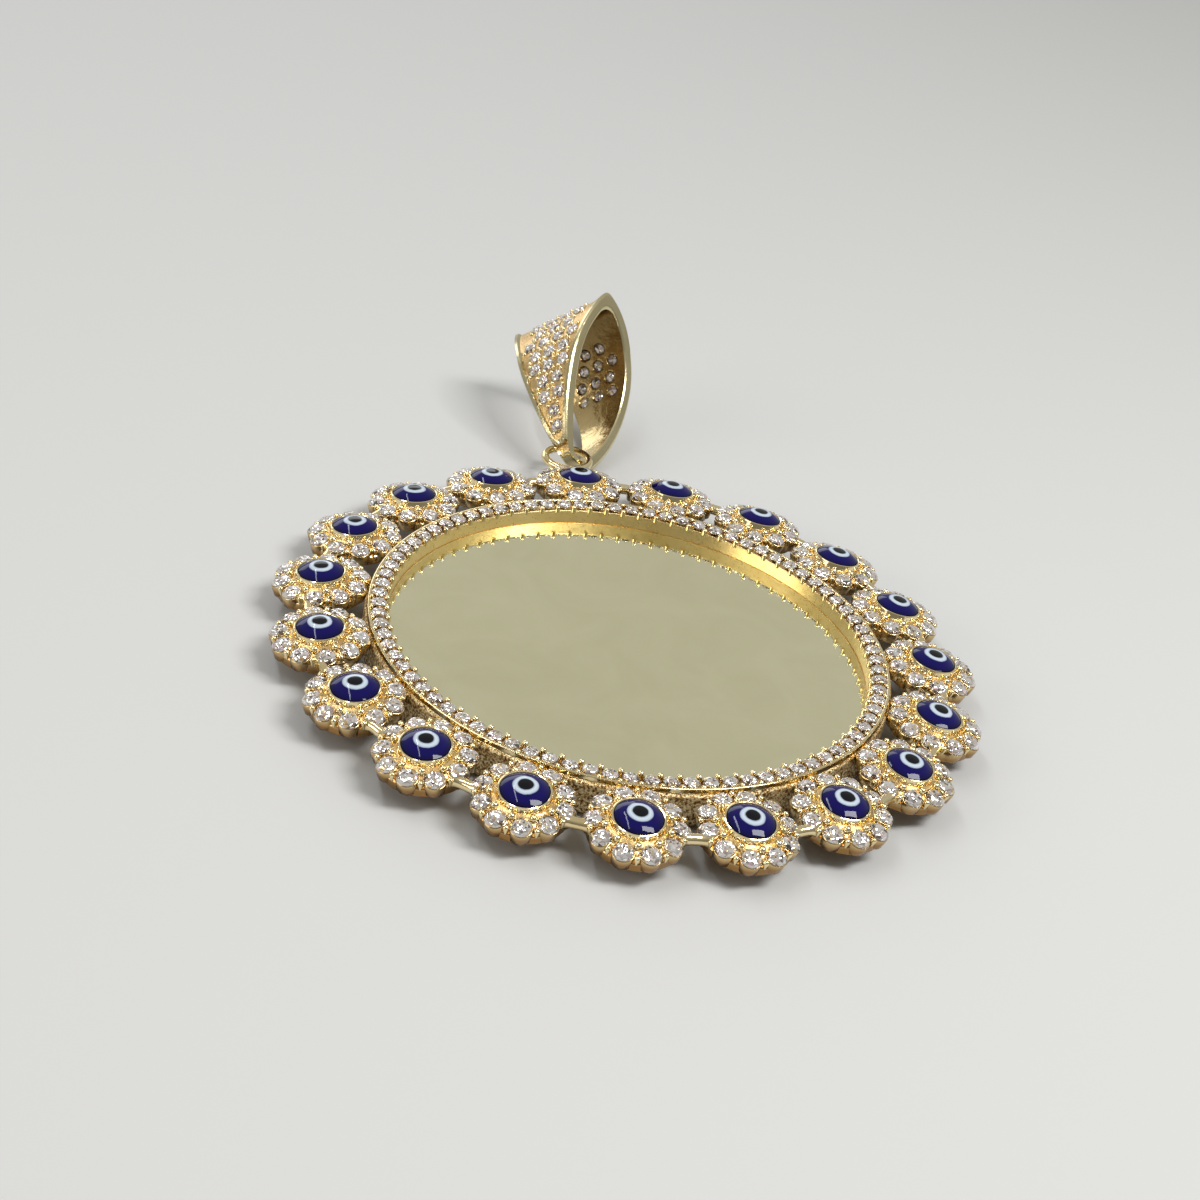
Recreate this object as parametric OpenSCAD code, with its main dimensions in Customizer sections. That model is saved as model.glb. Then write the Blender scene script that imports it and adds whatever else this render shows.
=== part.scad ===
// Round medallion with a mirror in the middle, a ring of evil eye flowers around it and a tapered bail.
// It lies on its flat back. The origin is the centre of the back, +Z is out of the face and +Y is to the bail.

/* [Medallion] */
// Number of flower settings around the mirror
flower_count = 19; // [12:1:19]
// Height of the eye rims above the flat back
face_z = 3; // [2.9:0.1:3.6]
// Outward lean of each flower, in degrees
flower_lean = 7; // [0:0.5:9]

/* [Mirror ring] */
// Inner radius of the ring wall around the mirror
ring_inner_r = 15.45; // [15.3:0.05:19]
// Width of the channel that holds the row of ring stones
channel_w = 0.93; // [0.8:0.01:0.95]
// Width of the lip inside the channel
lip_w = 0.17; // [0.1:0.01:0.25]
// Width of the raised rail outside the channel
rail_w = 0.2; // [0.15:0.01:0.25]
// Width of the base of the ring, which stands out below the rail
base_w = 0.17; // [0.12:0.01:0.2]
// Thickness of the closed back wall
back_t = 0.5; // [0.3:0.05:0.55]
// Thickness of the mirror plate
plate_t = 1.1; // [0.8:0.05:1.15]
// Depth from the rim of the eyes down to the face of the mirror plate
plate_depth = 1.3; // [1:0.05:1.3]
// Gap between the mirror plate and the metal around it
plate_gap = 0.07; // [0.03:0.01:0.1]

/* [Flower] */
// Number of round stones in each flower
petal_count = 10; // [8:1:10]
// Radius of the circle through the stones of a flower
petal_circle_r = 2.52; // [2.45:0.01:2.55]
// Girdle diameter of a flower stone
petal_stone_d = 1.24; // [1:0.01:1.26]
// Metal wall around each stone seat
petal_wall = 0.08; // [0.05:0.01:0.1]
// Height of the flower setting from its underside to the rim of its eye
flower_h = 1.6; // [1.4:0.05:1.8]
// Slope of the metal and of the stones around the eye, in degrees
petal_slope = 15; // [5:1:20]
// Depth of the slope below the eye rim, where it meets the eye cup
slope_drop = 0.3; // [0.25:0.01:0.4]
// Diameter of the bead prongs outside the gaps between stones
outer_bead_d = 0.4; // [0.2:0.01:0.44]
// Diameter of the bead prongs inside the gaps between stones
inner_bead_d = 0.34; // [0.2:0.01:0.38]
// Height of a bead prong above the slope
bead_h = 0.25; // [0.1:0.01:0.4]

/* [Eye] */
// Diameter of the enamel eye
eye_d = 2.84; // [2.4:0.01:2.9]
// Height of the enamel dome above its metal rim
eye_dome_h = 0.45; // [0.2:0.01:0.8]
// Depth of the eye below its metal rim
eye_depth = 0.55; // [0.3:0.01:0.7]
// Thickness of the metal rim around the eye
eye_rim_t = 0.15; // [0.1:0.01:0.2]

/* [Seats] */
// Gap between a stone or an eye and the wall of its seat
seat_gap = 0.03; // [0.02:0.005:0.05]
// Diameter of the light hole under each stone
light_hole_d = 0.8; // [0.4:0.01:0.85]

/* [Solder] */
// Diameter of the bars that join neighbouring flowers
bar_d = 0.55; // [0.4:0.01:0.8]
// Distance of these bars outside the circle of the eyes
bar_out = 1.35; // [0.8:0.05:1.8]
// Depth of these bars below the eye rims
bar_drop = 1.2; // [0.9:0.05:1.4]

/* [Eyelet] */
// Wire diameter of the eyelet that carries the bail
eyelet_wire_d = 0.56; // [0.45:0.01:0.6]
// Radius from the centre of the eyelet to the middle of its wire
eyelet_r = 1.6; // [1.55:0.01:1.8]
// Depth of the eyelet below the eye rims
eyelet_drop = 1.23; // [1.2:0.01:1.25]

/* [Bail] */
// Length of the bail between the points of its leaf outline
bail_l = 14.5; // [12:0.1:18]
// Bulge of the front panel from the line between these points
bail_front = 2.2; // [2:0.1:3]
// Bulge of the back panel from the same line
bail_back = 5; // [4.5:0.1:5.5]
// Height of these bulges above the lower point
bail_belly = 8.4; // [7:0.1:9]
// Thickness of the bail wall
bail_t = 0.85; // [0.75:0.01:0.95]
// Width across the top of the bail
bail_top_w = 8.8; // [8.2:0.1:10]
// Width across the bail below its flared top
bail_waist_w = 6.3; // [6:0.1:7.5]
// Width across the bottom of the bail
bail_foot_w = 0.9; // [0.8:0.05:1]
// Width of the plain rims beside the stones
bail_rim_w = 0.4; // [0.3:0.01:0.45]
// Depth of the stone field below these rims
bail_field_depth = 0.22; // [0.1:0.01:0.25]
// Girdle diameter of a bail stone
bail_stone_d = 1.1; // [0.9:0.01:1.12]
// Distance between the stones in a row
bail_column_pitch = 1.3; // [1.26:0.01:1.4]
// Distance between the rows
bail_row_pitch = 1.28; // [1.26:0.01:1.32]
// Distance of the first front row from the top of the bail
bail_first_row = 0.95; // [0.8:0.05:1.2]
// Distance of the first back row from the top of the bail
bail_back_row = 4; // [3.4:0.1:4.5]
// Turn of the bail about its own length, in degrees
bail_turn = 50; // [46:1:51]
// Rise of the bail above the plane of the back, in degrees
bail_rise = 31; // [31:0.5:60]

/* [Hidden] */
$fn = 64;
eps = 0.01;

// Cut of a stone, as shares of its girdle diameter
table_share = 0.56;
crown_share = 0.15;
pavilion_share = 0.36;

// Ring heights and radii, measured from the centre of the back
plate_z = face_z - plate_depth;
lip_z = face_z - 0.35;
rail_z = face_z - 0.15;
channel_z = face_z - 0.6;
channel_inner_r = ring_inner_r + lip_w;
channel_outer_r = channel_inner_r + channel_w;
rail_outer_r = channel_outer_r + rail_w;
ring_outer_r = rail_outer_r + base_w;
back_chamfer = 0.4;
base_z = face_z - 0.65;

// Flower sizes, measured along its own axis from the rim of the eye
eye_bore_r = eye_d / 2 + seat_gap;
eye_rim_r = eye_bore_r + eye_rim_t;
eye_floor = -eye_depth - seat_gap;
petal_bore_r = petal_stone_d / 2 + seat_gap;
petal_cup_r = petal_bore_r + petal_wall;
petal_step = 360 / petal_count;
petal_cup_h = 0.85;
petal_seat_depth = seat_depth(petal_stone_d);
dish_r = petal_circle_r + 0.28;
dish_z = -1;
shoulder_r = eye_rim_r + 0.25;
outer_bead_r = petal_circle_r + 0.35;
inner_bead_r = petal_circle_r - 0.57;

// The inner petals run into the base of the ring, and the flowers stand on the circle that this gives
solder_bite = 0.12;
flower_reach = (petal_circle_r * cos(petal_step / 2) + petal_cup_r) * cos(flower_lean)
    - slope_at(petal_circle_r) * sin(flower_lean);
flower_circle_r = ring_outer_r - solder_bite + flower_reach;
flower_gap_w = 2 * ((flower_circle_r + bar_out) * sin(180 / flower_count) - petal_circle_r);

// Height of the flower's slope at a distance from its axis
function slope_at(r) = -slope_drop - (r - eye_rim_r) * tan(petal_slope);

// Depth of a seat floor below the girdle, where the stone's pavilion goes into the light hole
function seat_depth(d) = pavilion_share * (d - light_hole_d) + seat_gap;

// Bail outline: on each side an upper and a lower arc that run into each other at the belly
bail_stone_bore_r = bail_stone_d / 2 + seat_gap;
foot_outer_r = 2.3;
foot_inner_r = 1;
top_outer_r = 0.8;
top_inner_r = 1.1;
foot_c = corner_c(bail_t, foot_inner_r, -1);
foot_y = 2;
waist_y = 0.775 * bail_l;
tongue_y = 3.3;
tongue_r = (bail_foot_w + (bail_waist_w - bail_foot_w) * (tongue_y - foot_y) / (waist_y - foot_y)) / 2;
tongue_step = 0.3;
front_rows = rows_that_fit([4, 3, 4, 3, 3, 2, 2, 1, 1], bail_first_row, 1);
back_rows = rows_that_fit([3, 4, 3, 3], bail_back_row, -1);
back_field_y = seat_y(-1, bail_back_row + (len(back_rows) - 1) * bail_row_pitch) - bail_row_pitch;
bail_seat_depth = seat_depth(bail_stone_d);

// The eyelet wire passes through the foot of the bail, to the right of the middle
eyelet_z = face_z - eyelet_drop;
eyelet_gap = 0.22;
eyelet_y = flower_circle_r + dish_r + eyelet_gap + eyelet_r;
hang_angle = 35;
hang_point = [eyelet_r * sin(hang_angle), eyelet_y + eyelet_r * cos(hang_angle), eyelet_z];
hang_shift = [-0.143, 0.015];

function eye_name(i) = str("eye_", i < 10 ? "0" : "", i);

// Point at distance ra from a and rb from b, on the left of the line from a to b or on its right
function meet(a, ra, b, rb, side) =
    let (d = norm(b - a), along = (ra * ra - rb * rb + d * d) / (2 * d),
         off = sqrt(ra * ra - along * along), u = (b - a) / d)
    a + along * u + side * off * [-u[1], u[0]];

// Bulge of one side of the bail outline, and the length of the upper or the lower arc along the bail:
// side is 1 on the front and -1 on the back, end is 1 at the top and -1 at the foot
function bulge(side) = side > 0 ? bail_front : bail_back;
function arc_rise(end) = end > 0 ? bail_l - bail_belly : bail_belly;

// Radius and centre of an arc of the outline
function arc_r(side, end) =
    (bulge(side) * bulge(side) + arc_rise(end) * arc_rise(end)) / (2 * bulge(side));
function arc_c(side, end) = [side * (bulge(side) - arc_r(side, end)), bail_belly];

// Centre of the round corner of the outline, set in by inset
function corner_c(inset, r, end) =
    meet(arc_c(1, end), arc_r(1, end) - inset - r, arc_c(-1, end), arc_r(-1, end) - inset - r, end);

// Point where a round corner with centre c runs into an arc
function tangent_point(side, end, inset, c) =
    arc_c(side, end) + (arc_r(side, end) - inset) * (c - arc_c(side, end)) / norm(c - arc_c(side, end));

// Which arc a distance s from the top falls on, its angle there above the belly and its height
function upper_length(side) = arc_r(side, 1) * asin(arc_rise(1) / arc_r(side, 1)) * PI / 180;
function seat_end(side, s) = s < upper_length(side) ? 1 : -1;
function seat_angle(side, s) = (upper_length(side) - s) / arc_r(side, seat_end(side, s)) * 180 / PI;
function seat_y(side, s) =
    bail_belly + (arc_r(side, seat_end(side, s)) - bail_field_depth) * sin(seat_angle(side, s));

// Half the width of the bail at a height above its lower point
function half_width(y) =
    lookup(y, [[0, bail_foot_w], [foot_y, bail_foot_w], [waist_y, bail_waist_w], [bail_l, bail_top_w]]) / 2;

// Rows of stones of a panel, as far as they stay above the tongue and between the edges of the bail
function rows_that_fit(rows, first, side) =
    [for (j = [0:len(rows) - 1])
        let (y = seat_y(side, first + j * bail_row_pitch))
        if (y > tongue_y && (rows[j] - 1) / 2 * bail_column_pitch + bail_stone_bore_r < half_width(y) - 0.1)
            rows[j]];

// Places its children at one flower, with the flower's axis along Z and the centre of the medallion at -X
module at_flower(i) {
    rotate([0, 0, 90 + 360 / flower_count * i])
        translate([flower_circle_r, 0, face_z])
            rotate([0, flower_lean, 0])
                children();
}

// Repeats its children at a radius around Z; shift turns them by a share of one step
module around(n, r, shift) {
    for (k = [0:n - 1])
        rotate([0, 0, 360 / n * (k + shift)])
            translate([r, 0, 0])
                children();
}

// Brilliant cut stone with its girdle at Z = 0: table, crown and pavilion, each with eight sides
module cut_stone(d) {
    sides = 8;
    girdle = [for (k = [0:sides - 1]) d / 2 * [cos(360 / sides * k), sin(360 / sides * k), 0]];
    table = [for (k = [0:sides - 1])
        [d * table_share / 2 * cos(360 / sides * (k + 0.5)),
         d * table_share / 2 * sin(360 / sides * (k + 0.5)), d * crown_share]];
    culet = [[0, 0, -d * pavilion_share]];
    polyhedron(
        points = concat(girdle, table, culet),
        faces = concat(
            [[for (k = [sides - 1:-1:0]) sides + k]],
            [for (k = [0:sides - 1]) [k, sides + k, (k + 1) % sides]],
            [for (k = [0:sides - 1]) [(k + 1) % sides, sides + k, sides + (k + 1) % sides]],
            [for (k = [0:sides - 1]) [k, (k + 1) % sides, 2 * sides]]));
}

// Places its children at every petal, on the slope around the eye and leaning outward with it
module at_petals() {
    around(petal_count, petal_circle_r, 0.5)
        translate([0, 0, slope_at(petal_circle_r)])
            rotate([0, petal_slope, 0])
                children();
}

// Ring of bead prongs on the dish, between the petals
module beads(r, d) {
    around(petal_count, r, 0)
        translate([0, 0, dish_z - 0.1]) cylinder(d = d, h = slope_at(r) + bead_h - dish_z + 0.1, $fn = 32);
}

// One flower setting: a dish with leaning petal cups, bead prongs and the cup of the eye
module flower_setting() {
    difference() {
        union() {
            translate([0, 0, -flower_h]) cylinder(r = dish_r, h = flower_h + dish_z);
            translate([0, 0, dish_z - 0.1]) cylinder(r = shoulder_r, h = slope_at(shoulder_r) - dish_z + 0.1);
            translate([0, 0, dish_z - 0.1]) cylinder(r = eye_rim_r, h = 0.1 - dish_z);
            at_petals() translate([0, 0, -petal_cup_h]) cylinder(r = petal_cup_r, h = petal_cup_h, $fn = 48);
            beads(outer_bead_r, outer_bead_d);
            beads(inner_bead_r, inner_bead_d);
        }
        translate([0, 0, eye_floor]) cylinder(r = eye_bore_r, h = 2);
        at_petals() {
            translate([0, 0, -petal_seat_depth]) cylinder(r = petal_bore_r, h = 1, $fn = 48);
            translate([0, 0, -2]) cylinder(d = light_hole_d, h = 3, $fn = 32);
        }
    }
}

// Ring wall, stone channel, rail and closed back in one turned body
module ring_body() {
    rotate_extrude($fn = 128)
        polygon([[0, 0], [ring_outer_r - back_chamfer, 0], [ring_outer_r, back_chamfer],
                 [ring_outer_r, base_z], [rail_outer_r, base_z + base_w], [rail_outer_r, rail_z],
                 [channel_outer_r, rail_z], [channel_outer_r, channel_z], [channel_inner_r, channel_z],
                 [channel_inner_r, lip_z], [ring_inner_r, lip_z], [ring_inner_r, back_t], [0, back_t]]);
}

// Soldered metal: ring, flowers, the bars between them and the eyelet
module frame() {
    color("goldenrod") {
        ring_body();
        for (i = [0:flower_count - 1]) {
            at_flower(i) flower_setting();
            rotate([0, 0, 90 + 360 / flower_count * (i + 0.5)])
                translate([flower_circle_r + bar_out, 0, face_z - bar_drop])
                    rotate([90, 0, 0]) cylinder(d = bar_d, h = flower_gap_w, center = true);
        }
        translate([0, eyelet_y, eyelet_z])
            rotate_extrude() translate([eyelet_r, 0]) circle(d = eyelet_wire_d);
    }
}

// Mirror plate, held in the ring above the closed back
module plate() {
    color("khaki")
        translate([0, 0, plate_z - plate_t])
            cylinder(r = ring_inner_r - plate_gap, h = plate_t, $fn = 128);
}

// Enamel eye: a drum in its cup with a domed top
module eye(i) {
    dome_r = (eye_d * eye_d / 4 + eye_dome_h * eye_dome_h) / (2 * eye_dome_h);
    color("midnightblue")
        at_flower(i)
            intersection() {
                translate([0, 0, -eye_depth]) cylinder(d = eye_d, h = eye_depth + eye_dome_h + 1);
                translate([0, 0, eye_dome_h - dome_r]) sphere(r = dome_r);
            }
}

// Loose cut stones of all the flowers, leaning outward with the slope
module flower_stones() {
    color("white")
        for (i = [0:flower_count - 1])
            at_flower(i) at_petals() cut_stone(petal_stone_d);
}

// Upper or lower half of the leaf outline of the bail, set in by inset, with a round corner
module half_leaf(inset, r, end) {
    c = corner_c(inset, r, end);
    front = tangent_point(1, end, inset, c);
    back = tangent_point(-1, end, inset, c);
    intersection() {
        translate(arc_c(1, end)) circle(r = arc_r(1, end) - inset, $fn = 128);
        translate(arc_c(-1, end)) circle(r = arc_r(-1, end) - inset, $fn = 128);
        polygon([[-bail_l, bail_belly], [-bail_l, back[1]], back, front, [bail_l, front[1]],
                 [bail_l, bail_belly]]);
    }
    translate(c) circle(r);
}

// Leaf outline of the bail; front is +X, length is +Y
module leaf(inset, foot_r, top_r) {
    half_leaf(inset, foot_r, -1);
    half_leaf(inset, top_r, 1);
}

// Turns an outline drawn with its front at +X into a slab across the bail, with its front at +Z
module across_bail() {
    rotate([0, -90, 0]) linear_extrude(2 * bail_top_w, center = true) children();
}

// Front view of the tapered bail with its flared top, less a margin at each side, from y0 up
module bail_taper(margin, y0) {
    half = [bail_foot_w, bail_foot_w, bail_waist_w, bail_top_w] / 2 - margin * [1, 1, 1, 1];
    level = [0, foot_y, waist_y, bail_l];
    intersection() {
        polygon(concat([for (k = [0:3]) [half[k], level[k]]], [for (k = [3:-1:0]) [-half[k], level[k]]]));
        translate([-bail_l, y0]) square(2 * bail_l);
    }
}

// Space above the sunk stone field: the front down to the tongue, the back down to its last row
module stone_field_cut() {
    intersection() {
        across_bail() difference() {
            translate([-bail_l, -bail_l]) square(3 * bail_l);
            leaf(bail_field_depth, foot_outer_r, top_outer_r);
        }
        union() {
            linear_extrude(2 * bail_l) {
                bail_taper(bail_rim_w, tongue_y);
                translate([0, tongue_y]) circle(tongue_r - bail_rim_w);
            }
            translate([0, 0, -2 * bail_l + eps])
                linear_extrude(2 * bail_l) bail_taper(bail_rim_w, back_field_y);
        }
    }
}

// Step below the rounded tongue, where the front panel ends on the thinner foot
module tongue_cut() {
    intersection() {
        across_bail() difference() {
            translate([-bail_l, -bail_l]) square(3 * bail_l);
            leaf(tongue_step, foot_outer_r - tongue_step, top_outer_r);
        }
        linear_extrude(2 * bail_l) difference() {
            translate([-bail_l, foot_c[1] - 0.4]) square([2 * bail_l, tongue_y - foot_c[1] + 0.4]);
            translate([0, tongue_y]) circle(tongue_r);
        }
    }
}

// Places its children at each seat on one panel, in rows along its arcs
module at_bail_seats(rows, first, side) {
    for (j = [0:len(rows) - 1]) {
        s = first + j * bail_row_pitch;
        end = seat_end(side, s);
        angle = seat_angle(side, s);
        out = arc_c(side, end)[0] + side * (arc_r(side, end) - bail_field_depth) * cos(angle);
        for (k = [0:rows[j] - 1])
            translate([(k - (rows[j] - 1) / 2) * bail_column_pitch, seat_y(side, s), out])
                rotate([side > 0 ? -angle : 180 + angle, 0, 0])
                    children();
    }
}

// Every stone seat of the bail, front and back
module at_all_bail_seats() {
    at_bail_seats(front_rows, bail_first_row, 1) children();
    at_bail_seats(back_rows, bail_back_row, -1) children();
}

// Places the bail on the eyelet wire: turned about its length and raised off the plane of the back
module at_bail() {
    translate(hang_point)
        rotate([bail_rise, 0, 0])
            rotate([0, -bail_turn, 0])
                translate([0, -foot_c[1] - hang_shift[1], -foot_c[0] - hang_shift[0]])
                    children();
}

// Hollow tapered bail with sunk stone fields and open seats
module bail_body() {
    difference() {
        intersection() {
            across_bail() difference() {
                leaf(0, foot_outer_r, top_outer_r);
                leaf(bail_t, foot_inner_r, top_inner_r);
            }
            translate([0, 0, -bail_l]) linear_extrude(2 * bail_l) bail_taper(0, 0);
        }
        stone_field_cut();
        tongue_cut();
        at_all_bail_seats() {
            translate([0, 0, -bail_seat_depth]) cylinder(r = bail_stone_bore_r, h = 1);
            translate([0, 0, -1.5]) cylinder(d = light_hole_d, h = 2, $fn = 32);
        }
    }
}

// The bail on its eyelet
module bail() {
    color("gold") at_bail() bail_body();
}

// Loose cut stones of the bail
module bail_stones() {
    color("white")
        at_bail()
            at_all_bail_seats() translate([0, 0, eps]) cut_stone(bail_stone_d);
}

frame();
plate();
for (i = [1:flower_count])
    eye(i - 1);
flower_stones();
bail();
bail_stones();
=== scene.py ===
"""Evil eye pendant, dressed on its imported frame.

Lengths are in millimetres and angles in degrees until a mesh is made."""
import math

import bpy
import numpy as np
from mathutils import Matrix


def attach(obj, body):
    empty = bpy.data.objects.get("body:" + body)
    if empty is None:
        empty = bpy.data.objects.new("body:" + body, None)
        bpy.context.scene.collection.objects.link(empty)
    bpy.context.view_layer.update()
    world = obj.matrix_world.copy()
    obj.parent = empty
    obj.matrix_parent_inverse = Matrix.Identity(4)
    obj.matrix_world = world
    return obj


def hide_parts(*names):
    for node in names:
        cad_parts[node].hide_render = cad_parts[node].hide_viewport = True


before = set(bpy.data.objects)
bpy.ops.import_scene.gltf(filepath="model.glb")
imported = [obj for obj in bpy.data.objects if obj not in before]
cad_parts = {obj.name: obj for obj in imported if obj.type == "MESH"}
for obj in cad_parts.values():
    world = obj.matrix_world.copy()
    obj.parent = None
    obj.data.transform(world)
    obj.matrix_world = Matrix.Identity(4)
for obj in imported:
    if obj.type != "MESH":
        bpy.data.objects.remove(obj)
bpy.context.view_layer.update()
MM = 0.001

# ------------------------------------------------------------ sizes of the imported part
FLOWERS, PETALS = 19, 10
# Height of the eye rims, outward lean of a flower, and the slope of the stones around its eye
FACE_Z, LEAN, SLOPE, SLOPE_DROP = 3.0, 7.0, 15.0, 0.3
RING_IN, LIP_W, CHANNEL_W, RAIL_W, BASE_W = 15.45, 0.17, 0.93, 0.2, 0.17
CHANNEL_IN = RING_IN + LIP_W
CHANNEL_OUT = CHANNEL_IN + CHANNEL_W
RAIL_OUT = CHANNEL_OUT + RAIL_W
RING_OUT = RAIL_OUT + BASE_W
# Closed back of the ring, and the depth from the eye rims down to the mirror
BACK_T, PLATE_DEPTH = 0.5, 1.3
FLOWER_R, FLOWER_H, PETAL_R, PETAL_D = 19.97, 1.6, 2.52, 1.24
EYE_D, EYE_DOME, EYE_GAP, EYE_RIM = 2.84, 0.45, 0.03, 0.15
EYE_BORE = EYE_D / 2 + EYE_GAP
BEZEL_R = EYE_BORE + EYE_RIM
EYELET_R, EYELET_D, EYELET_Y, EYELET_Z = 1.6, 0.56, 24.59, 1.77

# Bail: length, bulge to the front and the back, height of its belly, wall
BAIL_L, BAIL_FRONT, BAIL_BACK, BAIL_BELLY, BAIL_T = 14.5, 2.2, 5.0, 8.4, 0.85
BAIL_TOP_W, BAIL_WAIST_W, BAIL_FOOT_W, BAIL_RIM, BAIL_SINK = 8.8, 6.3, 0.9, 0.4, 0.22
# Round corners of its outline, outside and inside the wall
FOOT_OUT_R, TOP_OUT_R, FOOT_IN_R, TOP_IN_R = 2.3, 0.8, 1.0, 1.1
FOOT_Y, WAIST_Y, TONGUE_Y, TONGUE_STEP = 2.0, 0.775 * BAIL_L, 3.3, 0.3
BAIL_STONE, BAIL_COLUMN, BAIL_ROW = 1.1, 1.3, 1.28
# First row of stones on each panel, measured down from the top, and the stones in each row
FRONT_FIRST, BACK_FIRST = 0.95, 4.0
FRONT_ROWS, BACK_ROWS = [4, 3, 4, 3, 3, 2, 2, 1, 1], [3, 4, 3, 3]
# How the bail rests: raised, turned about its length, and where its foot hangs on the eyelet
BAIL_RISE, BAIL_TURN, HANG_ANGLE, HANG_SHIFT = 31.0, 50.0, 35.0, (-0.143, 0.015)

# ------------------------------------------------------------ sizes that only this layer has
# Steps of the ring, as depths below the eye rims
RAIL_DROP, LIP_DROP, LEDGE_DROP, CHANNEL_DROP, BASE_DROP = 0.15, 0.35, 0.48, 0.62, 0.65
BED_DROP = 0.4
RING_STONES, RING_STONE_R, RING_STONE_D, RING_STONE_DROP = 84, 16.06, 1.06, 0.17
CHAMFER, AROUND_RING = 0.4, 240
# Stones of the flowers, as a share of the solids' size
PETAL_SHOWN = 1.05
# Rings of beads in a flower, and the disc under it. Cups, beds and beads are rooted in the disc
BEADS_OUT_R, BEADS_IN_R = PETAL_R + 0.28, PETAL_R - 0.53
DISH_R, DISH_Z, ROOT_Z = BEADS_OUT_R, -1.0, -1.05
LIGHT_HOLE_R = 0.42
BAR_CIRCLE_R, BAR_DROP, BAR_R, BAR_FLARE = FLOWER_R + 0.4, 0.95, 0.36, 0.2
# Beads around a seat of the bail: aside, up or down, and below the sunk field
BAIL_BEAD_X, BAIL_BEAD_Y, BAIL_BEAD_Z = 0.44, 0.46, -0.1
# Sizes of the patterns on the metal: clouds of tone, ripple of the buff, casting grain, pores
CLOUD, RIPPLE, GRAIN, PORE = 2.6, 0.9, 0.14, 0.16


# ------------------------------------------------------------ placing
def turn(axis, degrees):
    """Rotation matrix about one axis by the right-hand rule."""
    a = math.radians(degrees)
    c, s = math.cos(a), math.sin(a)
    return np.array({"x": [[1, 0, 0], [0, c, -s], [0, s, c]],
                     "y": [[c, 0, s], [0, 1, 0], [-s, 0, c]],
                     "z": [[c, -s, 0], [s, c, 0], [0, 0, 1]]}[axis])


def place(rotation, point):
    """Frame as a 4x4 matrix from a rotation and the point where its origin goes."""
    m = np.eye(4)
    m[:3, :3], m[:3, 3] = rotation, point
    return m


def turned(axis, degrees):
    """Frame turned about one axis, with its origin left where it is."""
    return place(turn(axis, degrees), (0, 0, 0))


def shifted(x, y, z):
    """Frame moved to a point, without a turn."""
    return place(np.eye(3), (x, y, z))


def slope_at(r):
    """Height of the flower's slope at a distance r from its axis."""
    return -SLOPE_DROP - (r - BEZEL_R) * math.tan(math.radians(SLOPE))


flower_frames = [turned("z", 90 + 360 / FLOWERS * i) @ shifted(FLOWER_R, 0, FACE_Z)
                 @ turned("y", LEAN) for i in range(FLOWERS)]


def round_flower(r, z, tilt=0.0, shift=0.0):
    """Frames around every flower at radius r and height z, tilted outward and turned on by a
    share of the step from stone to stone."""
    return [f @ turned("z", 360 / PETALS * (k + shift)) @ place(turn("y", tilt), (r, 0, z))
            for f in flower_frames for k in range(PETALS)]


# ------------------------------------------------------------ shapes as arrays
def grid(points, close_u=False, close_v=False):
    """Quads over an array of points (m, n, 3), joined up in a direction that is closed."""
    m, n = points.shape[:2]
    i, j = np.meshgrid(np.arange(m if close_u else m - 1), np.arange(n if close_v else n - 1),
                       indexing="ij")
    i2, j2 = (i + 1) % m, (j + 1) % n
    quads = np.stack([i * n + j, i * n + j2, i2 * n + j2, i2 * n + j], -1).reshape(-1, 4)
    return points.reshape(-1, 3), [quads]


def revolve(profile, n, closed=False):
    """Profile (r, z) turned about Z: point = (r cos a, r sin a, z). A first or last point with
    r = 0 becomes one pole, and a closed profile is joined from its end to its start."""
    profile = np.asarray(profile, float)
    a = np.arange(n) / n * 2 * np.pi
    poles = profile[:, 0] < 1e-9
    r, z = profile[~poles].T
    points = np.stack([np.outer(r, np.cos(a)), np.outer(r, np.sin(a)),
                       np.repeat(z[:, None], n, 1)], -1)
    verts, faces = grid(points, closed, True)
    j = np.arange(n)
    for end, row in ((0, 0), (-1, len(r) - 1)):
        if poles[end]:
            tip = np.full(n, len(verts))
            verts = np.vstack([verts, [[0, 0, profile[end, 1]]]])
            ring, after = row * n + j, row * n + (j + 1) % n
            faces.append(np.stack([tip, after, ring] if end == 0 else [tip, ring, after], -1))
    return verts, faces


def copies(shape, frames):
    """The same shape at every frame, as one array: each point is turned, then moved."""
    verts, faces = shape
    f = np.array(frames)
    points = np.einsum("kij,vj->kvi", f[:, :3, :3], verts) + f[:, None, :3, 3]
    step = (np.arange(len(f)) * len(verts))[:, None, None]
    return points.reshape(-1, 3), [(q[None] + step).reshape(-1, q.shape[1]) for q in faces]


def together(*shapes):
    """Several shapes as one."""
    verts, faces, start = [], [], 0
    for v, fs in shapes:
        verts.append(v)
        faces += [f + start for f in fs]
        start += len(v)
    return np.vstack(verts), faces


def round_corners(points, radii, steps=4):
    """Closed polyline (r, z) with a curve in place of each corner p: (1-t)^2 a + 2t(1-t) p + t^2 b,
    where the cuts a and b lie a radius away from p, and at most at 0.45 of the side."""
    points = np.asarray(points, float)
    out = []
    t = np.linspace(0, 1, steps)[:, None]
    for k, radius in enumerate(radii):
        p, a, b = points[k], points[k - 1], points[(k + 1) % len(points)]
        if radius <= 0:
            out.append(p[None])
            continue
        la, lb = np.linalg.norm(a - p), np.linalg.norm(b - p)
        pa, pb = p + (a - p) * min(radius / la, 0.45), p + (b - p) * min(radius / lb, 0.45)
        out.append((1 - t) ** 2 * pa + 2 * t * (1 - t) * p + t ** 2 * pb)
    return np.vstack(out)


def smooth(x, low, high):
    """0 below low, 1 above high and 3t^2 - 2t^3 between them."""
    t = np.clip((x - low) / (high - low), 0, 1)
    return t * t * (3 - 2 * t)


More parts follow.
